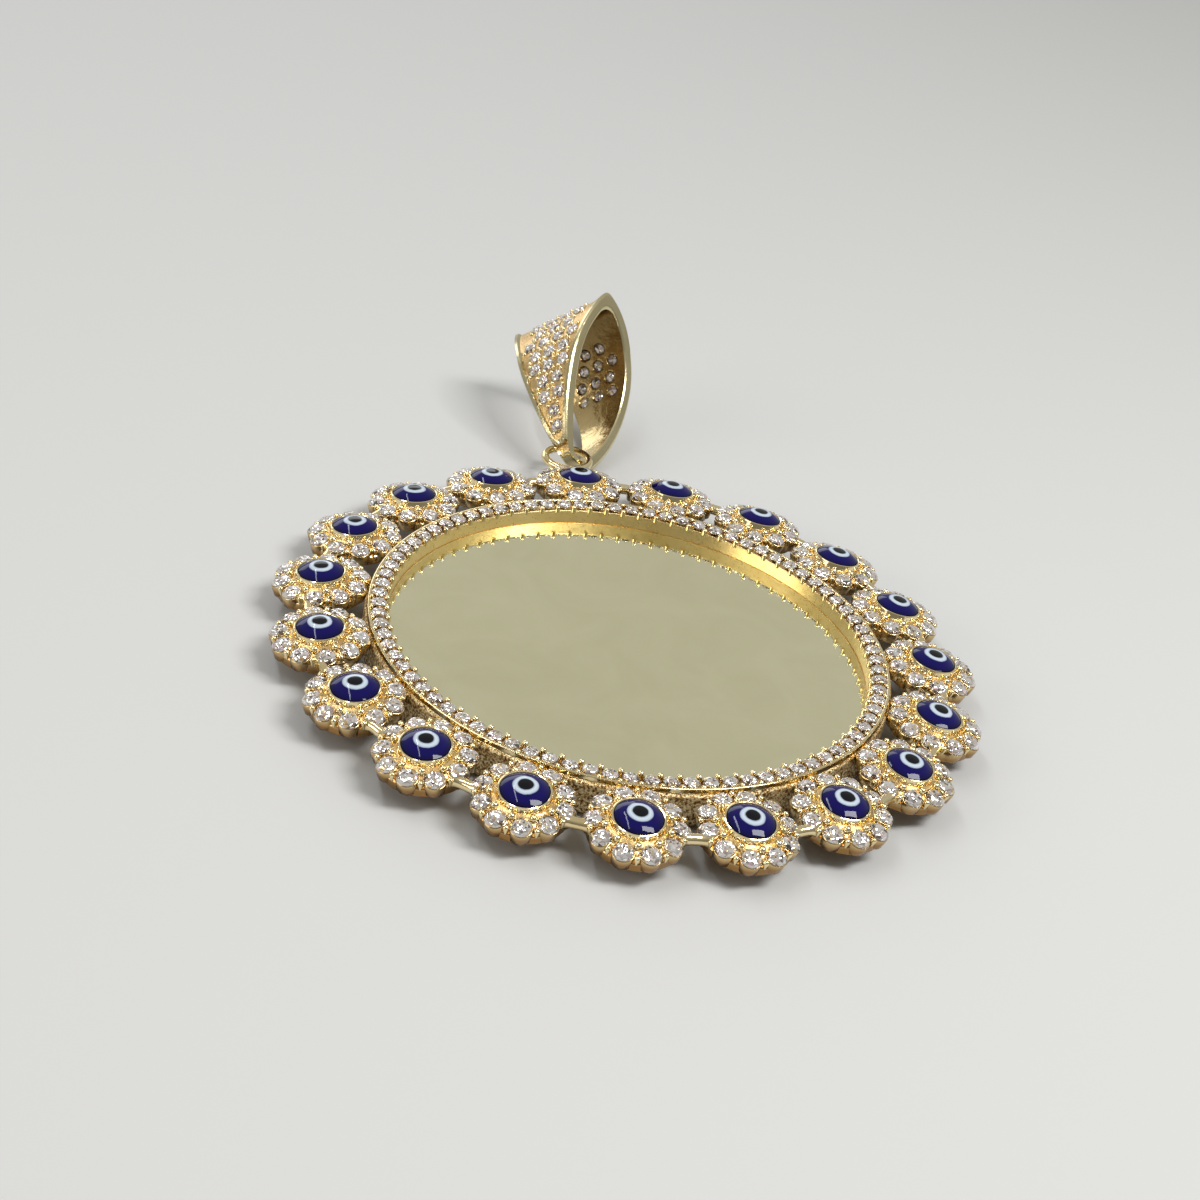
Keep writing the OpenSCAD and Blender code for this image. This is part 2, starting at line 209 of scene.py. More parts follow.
def brilliant():
    """Round brilliant with girdle diameter 1: rings of points, each (r cos a, r sin a, z), joined
    into the table, the stars, the kites, the upper halves and the pavilion. The flat table is cut
    where its back facets show through."""
    def around(r, z, n, shift=0.0):
        a = (np.arange(n) + shift) / n * 2 * np.pi
        return np.stack([r * np.cos(a), r * np.sin(a), np.full(n, z)], -1)

    table_z, star_z, culet_z = 0.15, 0.09, -0.43
    verts = np.vstack([around(0.28, table_z, 8, 0.5), around(0.4, star_z, 8), around(0.5, 0, 16),
                       around(0.14, table_z, 8), [[0, 0, table_z], [0, 0, culet_z]]])
    # Where each ring starts in the list of points
    table, star, girdle, inner, middle, culet = 0, 8, 16, 32, 40, 41
    k = np.arange(8)
    after, before = (k + 1) % 8, (k - 1) % 8
    here, left, right = girdle + 2 * k, girdle + (2 * k + 1) % 16, girdle + (2 * k - 1) % 16
    joined = [(np.full(8, middle), inner + k, inner + after),
              (inner + k, table + k, inner + after),
              (table + before, table + k, inner + k),
              (table + before, star + k, table + k),
              (table + k, star + k, left, star + after),
              (star + k, here, left),
              (star + k, right, here),
              (np.full(8, culet), left, here, right)]
    return verts, [np.stack(f, -1) for f in joined]


# ------------------------------------------------------------ materials
def linear(hexa):
    """sRGB hex to linear colour."""
    c = np.array([int(hexa[i:i + 2], 16) for i in (0, 2, 4)]) / 255
    return tuple(np.where(c <= 0.04045, c / 12.92, ((c + 0.055) / 1.055) ** 2.4)) + (1.0,)


def add(tree, kind, settings=None, links=None):
    """One node with its settings and links. A settings key is the name or number of a socket, or
    else an attribute of the node; a link goes from a socket's name or number to (node, output)."""
    node = tree.nodes.new(kind)
    for key, value in (settings or {}).items():
        if isinstance(key, int) or key in node.inputs:
            node.inputs[key].default_value = value
        else:
            setattr(node, key, value)
    feed(tree, node, links or {})
    return node


def feed(tree, node, links):
    """Feeds sockets of a node, each from (node, output)."""
    for key, (source, output) in links.items():
        tree.links.new(source.outputs[output], node.inputs[key])


def ramp(tree, source, output, stops):
    """Colour ramp with stops (position, hex)."""
    node = add(tree, "ShaderNodeValToRGB", links={"Fac": (source, output)})
    while len(node.color_ramp.elements) < len(stops):
        node.color_ramp.elements.new(0.5)
    for element, (position, hexa) in zip(node.color_ramp.elements, stops):
        element.position, element.color = position, linear(hexa)
    return node


def new_material(name, **settings):
    """Material with one principled shader; settings go straight on its sockets."""
    material = bpy.data.materials.new(name)
    material.use_nodes = True
    tree = material.node_tree
    shader = tree.nodes["Principled BSDF"]
    for key, value in settings.items():
        shader.inputs[key.replace("_", " ")].default_value = value
    return material, tree, shader


def every(size):
    """Scale of a pattern whose features lie about so many millimetres apart."""
    return 1 / (size * MM)


def worked_gold(name, tones, roughness, ripple, grain, lower=None, lengthwise=False):
    """14 karat yellow gold, cast, filed and buffed: pale yellow where it faces the light, orange
    where it reflects itself. The buff leaves a soft ripple and the casting a fine grain, of these
    depths. With lower = (low, high, tone) the gold turns to that tone between two heights above
    the back, a painted shade low down. With lengthwise, its tones follow that attribute from
    the foot of the bail to its top, as painted light and shade."""
    material, tree, shader = new_material(name, Metallic=1.0)
    at = add(tree, "ShaderNodeTexCoord")
    cloud = add(tree, "ShaderNodeTexNoise", {"Scale": every(CLOUD), "Detail": 3.0},
                {"Vector": (at, "Object")})
    if lengthwise:
        # Painted light and shade along the bail: its tones go from the foot to the top
        height = add(tree, "ShaderNodeAttribute", {"attribute_name": "lengthwise"})
        mottle = add(tree, "ShaderNodeMath", {"operation": "MULTIPLY_ADD", 1: 0.3},
                     {0: (cloud, "Fac"), 2: (height, "Fac")})
        colour = (ramp(tree, mottle, "Value", tones), "Color")
    else:
        colour = (ramp(tree, cloud, "Fac", tones), "Color")
    # Painted shade: below these heights the gold turns to a darker brown tone
    if lower:
        low, high, tone = lower
        split = add(tree, "ShaderNodeSeparateXYZ", links={"Vector": (at, "Object")})
        share = add(tree, "ShaderNodeMapRange", {"From Min": high * MM, "From Max": low * MM},
                    {"Value": (split, "Z")})
        painted_shade_mix = add(tree, "ShaderNodeMix", {"data_type": "RGBA", 7: linear(tone)},
                    {0: (share, "Result"), 6: colour})
        colour = (painted_shade_mix, 2)
    wave = add(tree, "ShaderNodeTexNoise", {"Scale": every(RIPPLE), "Detail": 2.0},
               {"Vector": (at, "Object")})
    fine = add(tree, "ShaderNodeTexNoise", {"Scale": every(GRAIN), "Detail": 4.0},
               {"Vector": (at, "Object")})
    rough = add(tree, "ShaderNodeMapRange", {"To Min": roughness * 0.6, "To Max": roughness * 1.5},
                {"Value": (fine, "Fac")})
    soft = add(tree, "ShaderNodeBump", {"Strength": 1.0, "Distance": ripple * MM},
               {"Height": (wave, "Fac")})
    tight = add(tree, "ShaderNodeBump", {"Strength": 1.0, "Distance": grain * MM},
                {"Height": (fine, "Fac"), "Normal": (soft, "Normal")})
    feed(tree, shader, {"Base Color": colour, "Roughness": (rough, "Result"),
                        "Normal": (tight, "Normal")})
    return material


# Rails, beads, bezels, bars and eyelet: the buff reaches them, so they are bright
gold = worked_gold("buffed_yellow_gold", [(0.3, "EED8A2"), (0.7, "F5E6BC")], 0.12, 0.03, 0.003)
# Outsides of cups and dishes: filed only, and brown low down, as painted shade
gold_walls = worked_gold("filed_gold_walls_painted_low_shade", [(0.3, "EAD09A"), (0.7, "F2DFB0")], 0.16, 0.03, 0.006,
                         lower=(1.5, 2.3, "A07A48"))
# Beds between the stones: satin from the mould, and darker and more orange than the buffed gold, a
# painted shade of the recesses and a painted reflection of the gold they face
gold_bed = worked_gold("satin_gold_painted_recess_shade", [(0.3, "D4AE72"), (0.7, "E2C48C")], 0.28, 0.05, 0.02)
# Rims of the bail: flat, polished and paler
gold_rim = worked_gold("champagne_gold_rim", [(0.3, "D2C69A"), (0.7, "DFD3AA")], 0.17, 0.02, 0.003)
# Wall around the mirror: a satin that blurs what it reflects
gold_inner_wall = worked_gold("satin_inner_wall", [(0.3, "E6CC90"), (0.7, "F0DAA4")],
                              0.3, 0.015, 0.004)
# Inside of the bail: hammered, with painted light and shade: bright at its foot and brown under its
# top, which shades it
gold_inside = worked_gold("hammered_gold_inside_painted_shade", [(0.4, "E8D29C"), (0.7, "DCC28A"),
                                                   (0.92, "AE9464"), (1.15, "867048")],
                          0.22, 0.07, 0.006, lengthwise=True)


def porous_casting():
    """Outer wall of the ring as it leaves the mould: granular, pitted at every pore and brown in
    the pits."""
    material, tree, shader = new_material("porous_cast_gold", Metallic=0.75)
    at = add(tree, "ShaderNodeTexCoord")
    grain = add(tree, "ShaderNodeTexNoise", {"Scale": every(PORE), "Detail": 5.0, "Roughness": 0.7},
                {"Vector": (at, "Object")})
    colour = ramp(tree, grain, "Fac", [(0.4, "4A3420"), (0.49, "C79E5E"), (0.57, "FFF2C6")])
    rough = add(tree, "ShaderNodeMapRange", {"To Min": 0.5, "To Max": 0.24},
                {"Value": (grain, "Fac")})
    pits = add(tree, "ShaderNodeBump", {"Strength": 1.0, "Distance": 0.09 * MM},
               {"Height": (grain, "Fac")})
    feed(tree, shader, {"Base Color": (colour, "Color"), "Roughness": (rough, "Result"),
                        "Normal": (pits, "Normal")})
    return material


gold_porous = porous_casting()


def cut_zirconia():
    """Colourless cubic zirconia, cut and polished. Its back facets send the light back in flecks,
    so half of it answers like a silvered surface, with its reflections painted on: by its
    attribute flash each facet is painted white, grey, gold or a faint pink, and tips its normal
    by about 16 degrees, and by 37 at most."""
    material, tree, shader = new_material("cubic_zirconia", Roughness=0.04, IOR=2.15,
                                          Transmission_Weight=0.5, Metallic=0.5)
    flash = add(tree, "ShaderNodeAttribute", {"attribute_name": "flash"})
    # Painted reflections: every facet is coloured white, grey, gold or a faint pink
    painted_fleck = ramp(tree, flash, "Fac", [
        (0.0, "F4F0EA"), (0.32, "E6E0DC"), (0.48, "C6B9B3"), (0.61, "8C7E76"), (0.69, "F8F6F4"),
        (0.77, "E8CC98"), (0.86, "6A5F58"), (0.91, "F6DFE6"), (0.95, "FFFFFF")])
    painted_fleck.color_ramp.interpolation = "CONSTANT"
    scatter = add(tree, "ShaderNodeTexWhiteNoise", {"noise_dimensions": "1D"},
                  {"W": (flash, "Fac")})
    middle = add(tree, "ShaderNodeVectorMath", {"operation": "SUBTRACT", 1: (0.5, 0.5, 0.5)},
                 {0: (scatter, "Color")})
    surface = add(tree, "ShaderNodeNewGeometry")
    tipped = add(tree, "ShaderNodeVectorMath", {"operation": "MULTIPLY_ADD", 1: (0.7, 0.7, 0.7)},
                 {0: (middle, "Vector"), 2: (surface, "Normal")})
    unit = add(tree, "ShaderNodeVectorMath", {"operation": "NORMALIZE"}, {0: (tipped, "Vector")})
    feed(tree, shader, {"Base Color": (painted_fleck, "Color"), "Normal": (unit, "Vector")})
    return material


stone = cut_zirconia()


def kiln_enamel():
    """Vitreous enamel fired on metal: cobalt ground, a pale ring and a black pupil under a glassy
    coat. The attribute eye_r is the distance from the eye's axis as a share of its radius."""
    material, tree, shader = new_material("kiln_fired_enamel", Roughness=0.3, Coat_Weight=1.0,
                                          Coat_Roughness=0.02, Coat_IOR=1.3, Specular_IOR_Level=0.0)
    radius = add(tree, "ShaderNodeAttribute", {"attribute_name": "eye_r"})
    at = add(tree, "ShaderNodeTexCoord")
    drift = add(tree, "ShaderNodeTexNoise", {"Scale": every(0.7), "Detail": 2.0},
                {"Vector": (at, "Object")})
    wobble = add(tree, "ShaderNodeMapRange", {"To Min": -0.04, "To Max": 0.04},
                 {"Value": (drift, "Fac")})
    edge = add(tree, "ShaderNodeMath", {"operation": "ADD"},
               {0: (radius, "Fac"), 1: (wobble, "Result")})
    colour = ramp(tree, edge, "Value", [
        (0.0, "06070B"), (0.3, "0C0D13"), (0.345, "A2AEBA"), (0.4, "BCC7D0"), (0.5, "A6B2C2"),
        (0.55, "0B064A"), (0.8, "0C064E"), (1.0, "070430")])
    orange_peel = add(tree, "ShaderNodeBump", {"Strength": 1.0, "Distance": 0.01 * MM},
                      {"Height": (drift, "Fac")})
    feed(tree, shader, {"Base Color": (colour, "Color"), "Coat Normal": (orange_peel, "Normal")})
    return material


enamel = kiln_enamel()


def mirror_glass():
    """Second-surface glass mirror, greenish beige from its glass and a little hazy with finger
    grease."""
    material, tree, shader = new_material("silvered_mirror_glass", Metallic=1.0)
    at = add(tree, "ShaderNodeTexCoord")
    smear = add(tree, "ShaderNodeTexNoise", {"Scale": every(6), "Detail": 5.0, "Distortion": 1.2},
                {"Vector": (at, "Object")})
    haze = add(tree, "ShaderNodeMapRange", {"To Min": 0.03, "To Max": 0.14},
               {"Value": (smear, "Fac")})
    colour = ramp(tree, smear, "Fac", [(0.3, "F4F0C8"), (0.7, "FBF7D0")])
    feed(tree, shader, {"Base Color": (colour, "Color"), "Roughness": (haze, "Result")})
    return material


mirror = mirror_glass()


# ------------------------------------------------------------ making a piece
def piece(name, shape, materials, body="medallion", angle=38, values=None,
          face_values=None, region=None):
    """Mesh object from arrays, in metres, with its faces turned outward, riding on its body. The
    sum of a . (b x c) over its triangles is six times its volume, so where that is negative the
    faces are turned round. Edges past the angle stay sharp. Values are attributes of the points,
    face_values of the faces, and region gives each face its material by number."""
    verts, faces = shape
    size = np.concatenate([np.full(len(f), f.shape[1]) for f in faces])
    flat = np.concatenate([f.reshape(-1) for f in faces])
    volume = 0.0
    for f in faces:
        for c in range(1, f.shape[1] - 1):
            a, b, d = verts[f[:, 0]], verts[f[:, c]], verts[f[:, c + 1]]
            volume += np.einsum("ij,ij->i", a, np.cross(b, d)).sum()
    if volume < 0:
        flat = np.concatenate([f[:, ::-1].reshape(-1) for f in faces])
    mesh = bpy.data.meshes.new(name)
    mesh.vertices.add(len(verts))
    mesh.vertices.foreach_set("co", (verts * MM).astype(np.float32).ravel())
    mesh.loops.add(len(flat))
    mesh.loops.foreach_set("vertex_index", flat.astype(np.int32))
    mesh.polygons.add(len(size))
    starts = np.concatenate([[0], np.cumsum(size)[:-1]])
    mesh.polygons.foreach_set("loop_start", starts.astype(np.int32))
    mesh.polygons.foreach_set("loop_total", size.astype(np.int32))
    mesh.update(calc_edges=True)
    mesh.validate()
    for domain, table in (("POINT", values), ("FACE", face_values)):
        for key, value in (table or {}).items():
            layer = mesh.attributes.new(key, "FLOAT", domain)
            layer.data.foreach_set("value", np.asarray(value, np.float32))
    if angle:
        mesh.shade_smooth()
        mesh.set_sharp_from_angle(angle=math.radians(angle))
    for material in materials:
        mesh.materials.append(material)
    if region is not None:
        mesh.polygons.foreach_set("material_index", np.asarray(region, np.int32))
    obj = bpy.data.objects.new(name, mesh)
    bpy.context.scene.collection.objects.link(obj)
    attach(obj, body)
    return obj


# ------------------------------------------------------------ ring
def ring_profile():
    """Section of the ring: flat back, chamfer, base, ledge, rail, channel for the stones, lip,
    inner wall and the closed back under the mirror."""
    z = FACE_Z
    points = [(0, 0), (RING_OUT - CHAMFER, 0), (RING_OUT, CHAMFER), (RING_OUT, z - BASE_DROP),
              (RAIL_OUT, z - LEDGE_DROP), (RAIL_OUT, z - RAIL_DROP), (CHANNEL_OUT, z - RAIL_DROP),
              (CHANNEL_OUT, z - CHANNEL_DROP), (CHANNEL_IN, z - CHANNEL_DROP),
              (CHANNEL_IN, z - LIP_DROP), (RING_IN, z - LIP_DROP), (RING_IN, BACK_T), (0, BACK_T)]
    return round_corners(points, [0, 0.2, 0.2, 0.1, 0.08, 0.07, 0.07, 0.05, 0.05, 0.05, 0.05,
                                  0.1, 0])


def middles(shape):
    """Middle of every face as (r, z), in the order in which the faces are laid down."""
    verts, faces = shape
    m = np.concatenate([verts[f].mean(1) for f in faces])
    return np.hypot(m[:, 0], m[:, 1]), m[:, 2]


def strip(r_in, r_out, bottom, top_in, top_out, radii, steps):
    """Strip of metal around the ring: flat below, and sloping above from its inner edge to its
    outer one."""
    section = [(r_in, bottom), (r_out, bottom), (r_out, top_out), (r_in, top_in)]
    return revolve(round_corners(section, radii, steps), AROUND_RING, closed=True)


ring_shape = revolve(ring_profile(), AROUND_RING)
r_mid, z_mid = middles(ring_shape)
# Faces below the ledge, in the channel and around the mirror; all others are buffed
cast_wall = (r_mid > RAIL_OUT + 0.01) & (z_mid < FACE_Z - 0.5)
channel = (r_mid > CHANNEL_IN) & (r_mid < CHANNEL_OUT) & (z_mid < FACE_Z - BED_DROP) & (z_mid > 1)
inner_wall = (np.abs(r_mid - RING_IN) < 0.04) & (z_mid > BACK_T + 0.05)
ring = piece("ring", ring_shape, [gold, gold_porous, gold_bed, gold_inner_wall],
             region=np.select([cast_wall, channel, inner_wall], [1, 2, 3], 0))
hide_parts("frame")
# Bed of the channel, under the stones: it slopes down from the rail to the lip
piece("ring_channel", strip(CHANNEL_IN - 0.02, CHANNEL_OUT + 0.02, FACE_Z - CHANNEL_DROP - 0.03,
                            FACE_Z - BED_DROP - 0.1, FACE_Z - BED_DROP, [0, 0, 0.02, 0.02], 3),
      [gold_bed])
# Seam around the mirror: it fills the gap at the plate's edge, just below the plate's face
mirror_z = FACE_Z - PLATE_DEPTH
piece("mirror_seat", strip(RING_IN - 0.1, RING_IN + 0.05, mirror_z - 0.3, mirror_z - 0.06,
                           mirror_z - 0.02, [0, 0, 0, 0.04], 5), [gold_bed], angle=50)


def cut_stones(name, size, frames, body, backs=None):
    """Brilliants at all the frames, with backs where the metal is open behind them, each facet
    with its own flash: the fraction of sin(12.9898 k) * 43758.5453."""
    verts, faces = brilliant()
    shape = copies((verts * size, faces), frames)
    if backs:
        shape = together(shape, copies(backs, frames))
    count = sum(len(f) for f in shape[1])
    flash = np.sin(12.9898 * np.arange(count)) * 43758.5453
    return piece(name, shape, [stone], body=body, angle=0,
                 face_values={"flash": flash - np.floor(flash)})


def as_set(k, degrees, cycle):
    """Turn of stone number k in its seat: so many degrees more from stone to stone, over and over
    again."""
    return turn("z", degrees * (k % cycle))


RING_STEP = 360 / RING_STONES
cut_stones("ring_stones", RING_STONE_D, [
    turned("z", RING_STEP * (k + 0.5))
    @ place(as_set(k, 11.0, 7), (RING_STONE_R, 0, FACE_Z - RING_STONE_DROP))
    for k in range(RING_STONES)], "medallion")


def bead(radius, height, n=12, stem=0.92):
    """Bead prong: a short stem, at its foot a share of the head, with a round head: r = radius
    cos t and z = height - radius + radius sin t."""
    t = np.linspace(0, np.pi / 2, 5)
    head = np.stack([radius * np.cos(t), height - radius + radius * np.sin(t)], -1)
    head[-1, 0] = 0
    return revolve(np.vstack([[[0, 0], [radius * stem, 0]], head]), n)


def ring_beads(r):
    """Frames of the beads between the ring stones at a radius, 0.5 below the eye rims."""
    return [turned("z", RING_STEP * k) @ shifted(r, 0, FACE_Z - 0.5) for k in range(RING_STONES)]


piece("ring_beads", together(copies(bead(0.19, 0.5), ring_beads(RING_IN + 0.08)),
                             copies(bead(0.16, 0.46), ring_beads(CHANNEL_OUT - 0.04))),
      [gold], angle=60)


# ------------------------------------------------------------ flowers
def petal_cup():
    """Tube around one stone: its wall leans in to a thin edge just below the girdle; inside are
    the bore, the seat cone and the light hole, turned as a closed profile."""
    r, foot = PETAL_D / 2, -0.84
    return revolve([(r + 0.05, foot), (r + 0.08, -0.8), (r + 0.08, -0.3), (r + 0.065, -0.1),
                    (r + 0.045, -0.062), (r + 0.015, -0.045), (r - 0.015, -0.05), (r - 0.02, -0.07),
                    (0.46, -0.26), (LIGHT_HOLE_R, -0.32), (LIGHT_HOLE_R, foot)], 22, closed=True)


def eye_cup():
    """Bezel around one eye: bore, thin round rim and outer wall down to its root, turned as a
    closed profile."""
    r = BEZEL_R
    return revolve([(EYE_BORE, -0.75), (EYE_BORE, -0.05), (EYE_BORE + 0.02, -0.01),
                    (r - 0.07, 0.015), (r - 0.02, -0.01), (r, -0.06), (r + 0.02, -0.3),
                    (r + 0.07, -0.42), (r + 0.07, ROOT_Z), (EYE_BORE, ROOT_Z)], 48, closed=True)


def flower_bed():
    """Bed between the eye and the petals: it follows the slope a little below the stones and ends
    in a round edge."""
    r = BEZEL_R
    return revolve([(r - 0.1, ROOT_Z), (r - 0.1, -0.4), (r + 0.03, -0.37), (r + 0.1, -0.4),
                    (1.9, slope_at(1.9) - 0.1), (2.25, slope_at(2.25) - 0.12),
                    (2.45, slope_at(2.45) - 0.18), (2.55, slope_at(2.5) - 0.32), (2.56, ROOT_Z)],
                   60, closed=True)


def dish():
    """Disc under a flower on a polar grid: flat top, round edge, and an underside with a pit
    under every stone: its depth is 0.7 inside the light hole and 0 outside it."""
    n, pit_depth, pit_circle, pit_r = 120, 0.7, 2.28, 0.34
    a = np.arange(n) / n * 2 * np.pi
    under = np.concatenate([np.linspace(0.3, 1.5, 4), np.linspace(1.62, 2.7, 15)])
    x, y = np.outer(under, np.cos(a)), np.outer(under, np.sin(a))
    c = (np.arange(PETALS) + 0.5) / PETALS * 2 * np.pi
    away = np.hypot(x[..., None] - pit_circle * np.cos(c),
                    y[..., None] - pit_circle * np.sin(c)).min(-1)
    z = -FLOWER_H + pit_depth * smooth(-away, -LIGHT_HOLE_R, -pit_r)
    rows = [np.stack([x, y, z], -1)]
    for r, h in ((DISH_R - 0.03, -FLOWER_H + 0.01), (DISH_R, -FLOWER_H + 0.06),
                 (DISH_R, DISH_Z - 0.06), (DISH_R - 0.05, DISH_Z), (1.5, DISH_Z), (0.3, DISH_Z)):
        rows.append(np.stack([r * np.cos(a), r * np.sin(a), np.full(n, h)], -1)[None])
    points = np.concatenate(rows)
    verts, faces = grid(points, False, True)
    top, last, j = len(verts), (len(points) - 1) * n, np.arange(n)
    verts = np.vstack([verts, [[0, 0, DISH_Z], [0, 0, -FLOWER_H]]])
    faces += [np.stack([np.full(n, top), last + j, last + (j + 1) % n], -1),
              np.stack([np.full(n, top + 1), (j + 1) % n, j], -1)]
    return verts, faces


seat_frames = round_flower(PETAL_R, slope_at(PETAL_R), SLOPE, 0.5)
cups = piece("petal_cups", copies(petal_cup(), seat_frames), [gold_walls], angle=40)
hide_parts("frame")
piece("flower_dishes", copies(dish(), flower_frames), [gold_walls], angle=35)
piece("eye_bezels", copies(eye_cup(), flower_frames), [gold], angle=40)
piece("flower_beds", copies(flower_bed(), flower_frames), [gold_bed], angle=40)
outer_h, inner_h = slope_at(BEADS_OUT_R) + 0.2, slope_at(BEADS_IN_R) + 0.27
piece("flower_beads", together(
    copies(bead(0.19, outer_h - ROOT_Z, stem=0.3), round_flower(BEADS_OUT_R, ROOT_Z)),
    copies(bead(0.24, inner_h - ROOT_Z, 14), round_flower(BEADS_IN_R, ROOT_Z))),
      [gold], angle=60)
petal_stones = cut_stones("petal_stones", PETAL_D * PETAL_SHOWN, [
    f @ place(as_set(k, 13.0, 5), (0, 0, 0)) for k, f in enumerate(seat_frames)],
    "medallion")
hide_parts("flower_stones")


def eye_dome():
    """Enamel dome, a cap of a sphere over a drum: z = sqrt(R^2 - x^2) - (R - h) at a distance x
    from the axis, with R = (r^2 + h^2) / 2h. Returns the shape and its distance from the axis as
    a share of the radius."""
    r, h, drum = EYE_D / 2, EYE_DOME, 0.5
    share = np.concatenate([np.linspace(0, 0.94, 18), [0.975, 1.0]])
    big = (r * r + h * h) / (2 * h)
    top = np.sqrt(big * big - (share * r) ** 2) - (big - h)
    profile = [(0, -drum), (r * 0.9, -drum), (r, 0.05 - drum)]
    profile += [(s * r, z) for s, z in zip(share[::-1], top[::-1])]
    verts, faces = revolve(profile, 56)
    value = np.hypot(verts[:, 0], verts[:, 1]) / r
    # The foot of the drum takes the colour of the edge
    return (verts, faces), np.where(verts[:, 2] < -0.3, 1.0, value)


dome, dome_value = eye_dome()
eyes = piece("enamel_eyes", copies(dome, flower_frames), [enamel], angle=50,
             values={"eye_r": np.tile(dome_value, FLOWERS)})
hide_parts(*["eye_%02d" % (k + 1) for k in range(FLOWERS)])


def solder_bar(radius, length, n=20):
    """Round bar along Z, centred, that flares into a solder fillet at both ends: r = radius +
    flare (2 z / length)^4."""
    z = np.linspace(-length / 2, length / 2, 15)
    r = radius + BAR_FLARE * (2 * z / length) ** 4
    return revolve(np.vstack([[[0, z[0] - 0.02]], np.stack([r, z], -1), [[0, z[-1] + 0.02]]]), n)


def hoop(ring_r, wire_r, centre, n=72, m=24):
    """Torus: point = centre + ((R + r cos v) cos u, (R + r cos v) sin u, r sin v)."""
    u, v = np.meshgrid(np.arange(n) / n * 2 * np.pi, np.arange(m) / m * 2 * np.pi, indexing="ij")
    far = ring_r + wire_r * np.cos(v)
    return grid(np.stack([far * np.cos(u), far * np.sin(u), wire_r * np.sin(v)], -1)
                + np.array(centre), True, True)


gap = 2 * (BAR_CIRCLE_R * math.sin(math.pi / FLOWERS) - PETAL_R)
bars = [turned("z", 90 + 360 / FLOWERS * (i + 0.5))
        @ place(turn("x", 90), (BAR_CIRCLE_R, 0, FACE_Z - BAR_DROP)) for i in range(FLOWERS)]
piece("eyelet_and_bars", together(hoop(EYELET_R, EYELET_D / 2, (0, EYELET_Y, EYELET_Z)),
                                  copies(solder_bar(BAR_R, gap + 0.1), bars)),
      [gold], angle=50)


# ------------------------------------------------------------ bail
def arc_radius(side, end):
    """Radius of the outline's upper (end 1) or lower (end -1) arc on the front (side 1) or back
    (side -1)."""
    bulge = BAIL_FRONT if side > 0 else BAIL_BACK
    rise = BAIL_L - BAIL_BELLY if end > 0 else BAIL_BELLY
    return (bulge ** 2 + rise ** 2) / (2 * bulge)


def arc_centre(side, end):
    """Centre of that arc, on the belly's height."""
    bulge = BAIL_FRONT if side > 0 else BAIL_BACK
    return np.array([side * (bulge - arc_radius(side, end)), BAIL_BELLY])


def corner(inset, r, end):
    """Centre of a round corner: the point at both arcs' inset distance, on the outer side."""
    a, b = arc_centre(1, end), arc_centre(-1, end)
    ra, rb = arc_radius(1, end) - inset - r, arc_radius(-1, end) - inset - r
    d = np.linalg.norm(b - a)
    along = (ra * ra - rb * rb + d * d) / (2 * d)
    u = (b - a) / d
    return a + along * u + end * math.sqrt(ra * ra - along * along) * np.array([-u[1], u[0]])


def leaf_path(inset, foot_r, top_r, counts):
    """Closed outline of the bail and its outward normals: six arcs, each centre + radius (cos a,
    sin a), with the angle a growing all the way round from the foot's back to the foot again."""
    foot, top = corner(inset, foot_r, -1), corner(inset, top_r, 1)

    def angle(side, end, c):
        d = c - arc_centre(side, end)
        return math.atan2(d[1], d[0]) % (2 * math.pi)

    a1, a2 = angle(1, -1, foot) - 2 * math.pi, angle(1, 1, top)
    a3, a4 = angle(-1, 1, top), angle(-1, -1, foot)
    arcs = [(foot, foot_r, a4 - 2 * math.pi, a1),
            (arc_centre(1, -1), arc_radius(1, -1) - inset, a1, 0.0),
            (arc_centre(1, 1), arc_radius(1, 1) - inset, 0.0, a2),
            (top, top_r, a2, a3),
            (arc_centre(-1, 1), arc_radius(-1, 1) - inset, a3, math.pi),
            (arc_centre(-1, -1), arc_radius(-1, -1) - inset, math.pi, a4)]
    points, normals = [], []
    for (c, r, start, stop), n in zip(arcs, counts):
        a = np.linspace(start, stop, n, endpoint=False)
        normal = np.stack([np.cos(a), np.sin(a)], -1)
        points.append(c + r * normal)
        normals.append(normal)
    return np.vstack(points), np.vstack(normals)


def half_width(y):
    """Half the bail's width at a height y of its outline: narrow foot, straight taper, flared
    top."""
    widths = np.array([BAIL_FOOT_W, BAIL_FOOT_W, BAIL_WAIST_W, BAIL_TOP_W])
    return np.interp(y, [0, FOOT_Y, WAIST_Y, BAIL_L], widths / 2)


def panel_seats(rows, first, side):
    """Frames of the stone seats of one panel, row by row along its arcs, with Z out of the
    metal."""
    upper = arc_radius(side, 1) * math.asin((BAIL_L - BAIL_BELLY) / arc_radius(side, 1))
    out = []
    for j, count in enumerate(rows):
        s = first + j * BAIL_ROW
        end = 1 if s < upper else -1
        a = (upper - s) / arc_radius(side, end)
        normal = np.array([side * math.cos(a), math.sin(a)])
        point = arc_centre(side, end) + (arc_radius(side, end) - BAIL_SINK) * normal
        z_axis = np.array([0, normal[1], normal[0]])
        rotation = np.stack([np.array([1, 0, 0]), np.cross(z_axis, [1, 0, 0]), z_axis], -1)
        out += [place(rotation, ((k - (count - 1) / 2) * BAIL_COLUMN, point[1], point[0]))
                for k in range(count)]
    return out


tongue_r = float(half_width(TONGUE_Y))
back_seats = panel_seats(BACK_ROWS, BACK_FIRST, -1)
bail_seats = panel_seats(FRONT_ROWS, FRONT_FIRST, 1) + back_seats
